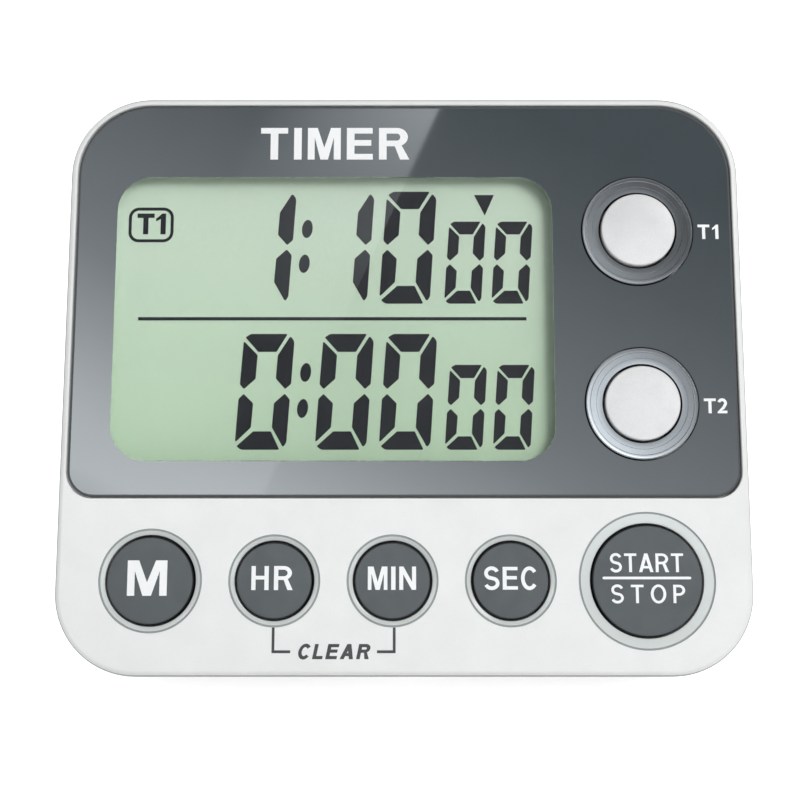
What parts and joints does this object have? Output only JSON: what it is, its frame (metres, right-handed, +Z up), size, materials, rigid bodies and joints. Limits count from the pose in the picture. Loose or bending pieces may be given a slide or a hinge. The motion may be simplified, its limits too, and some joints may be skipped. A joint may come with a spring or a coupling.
{
  "type": "lab timer",
  "caption": "Flat two-channel digital lab timer leaning back on a fold-out rear stand, with a wide LCD, round face keys and rear magnets.",
  "frame": {"origin": "on the bench, under the middle of the box round the timer as it leans back on its open stand", "axes": "+Z up, +X to the right of someone facing the display, +Y away from them; the face looks along -Y and leans back 22.5 degrees"},
  "size_m": [0.096, 0.0496, 0.0828],
  "materials": {
    "case_white": "fine satin texture",
    "lens_clear": "polished acrylic",
    "panel_print": "printed layer seen through gloss",
    "key_dark": "satin",
    "key_silver": "satin silver paint",
    "collar_grey": "satin",
    "lcd_green": "liquid crystal display",
    "black_plastic": "moulded",
    "silicone": "matt",
    "board_green": "solder mask",
    "epoxy_black": "gloss",
    "steel": "bright plated",
    "brass": "plain",
    "ceramic": "matt",
    "ferrite": "sintered",
    "cell_label": "printed sleeve",
    "wire_red": "insulation",
    "wire_black": "insulation"
  },
  "bodies": {
    "case": {"battery_cell": "cell_label", "battery_lead_black": "wire_black", "battery_lead_red": "wire_red", "battery_plate": "steel", "battery_spring": "steel", "board_screw_1": "steel", "board_screw_2": "steel", "board_screw_3": "steel", "board_screw_4": "steel", "capacitor_driver": "black_plastic", "capacitor_supply": "black_plastic", "case_screw_1": "steel", "case_screw_2": "steel", "case_screw_3": "steel", "case_screw_4": "steel", "circuit_board": "board_green", "clock_crystal": "steel", "collar_t1": "collar_grey", "collar_t2": "collar_grey", "contact_strip": "silicone", "controller_blob": "epoxy_black", "display_lens": "lens_clear", "front_case": "case_white", "keypad_row_mat": "silicone", "keypad_side_mat": "silicone", "lcd_frame": "black_plastic", "lcd_glass": "lcd_green", "lens_print": "panel_print", "magnet_left": "ferrite", "magnet_right": "ferrite", "rear_case": "case_white", "resistor_reset": "epoxy_black", "resistor_sounder": "epoxy_black", "sounder_crystal": "ceramic", "sounder_gasket": "black_plastic", "sounder_lead_black": "wire_black", "sounder_lead_red": "wire_red", "sounder_plate": "brass", "stand_pin": "steel"},
    "m_key": {"key_m": "key_dark", "plunger_m": "silicone"},
    "hr_key": {"key_hr": "key_dark", "plunger_hr": "silicone"},
    "min_key": {"key_min": "key_dark", "plunger_min": "silicone"},
    "sec_key": {"key_sec": "key_dark", "plunger_sec": "silicone"},
    "start_stop_key": {"key_start_stop": "key_dark", "plunger_start_stop": "silicone"},
    "t1_key": {"key_t1": "key_silver", "plunger_t1": "silicone"},
    "t2_key": {"key_t2": "key_silver", "plunger_t2": "silicone"},
    "stand": {"stand": "case_white"},
    "battery_door": {"battery_door": "case_white"}
  },
  "joints": [
    {"name": "m_press", "type": "slide", "parent": "case", "child": "m_key", "axis": [0, 0.9239, -0.3827], "range_m": [0, 0.0009], "stiffness_N_per_m": 1500},
    {"name": "hr_press", "type": "slide", "parent": "case", "child": "hr_key", "axis": [0, 0.9239, -0.3827], "range_m": [0, 0.0009], "stiffness_N_per_m": 1500},
    {"name": "min_press", "type": "slide", "parent": "case", "child": "min_key", "axis": [0, 0.9239, -0.3827], "range_m": [0, 0.0009], "stiffness_N_per_m": 1500},
    {"name": "sec_press", "type": "slide", "parent": "case", "child": "sec_key", "axis": [0, 0.9239, -0.3827], "range_m": [0, 0.0009], "stiffness_N_per_m": 1500},
    {"name": "start_stop_press", "type": "slide", "parent": "case", "child": "start_stop_key", "axis": [0, 0.9239, -0.3827], "range_m": [0, 0.0009], "stiffness_N_per_m": 1500},
    {"name": "t1_press", "type": "slide", "parent": "case", "child": "t1_key", "axis": [0, 0.9239, -0.3827], "range_m": [0, 0.0009], "stiffness_N_per_m": 1500},
    {"name": "t2_press", "type": "slide", "parent": "case", "child": "t2_key", "axis": [0, 0.9239, -0.3827], "range_m": [0, 0.0009], "stiffness_N_per_m": 1500},
    {"name": "stand_hinge", "type": "hinge", "parent": "case", "child": "stand", "pos_m": [0, 0.00808, 0.03783], "axis": [1, 0, 0], "range_deg": [-37, 0]},
    {"name": "battery_door_release", "type": "slide", "parent": "case", "child": "battery_door", "axis": [0, 0.9239, -0.3827], "range_m": [0, 0.015]}
  ]
}
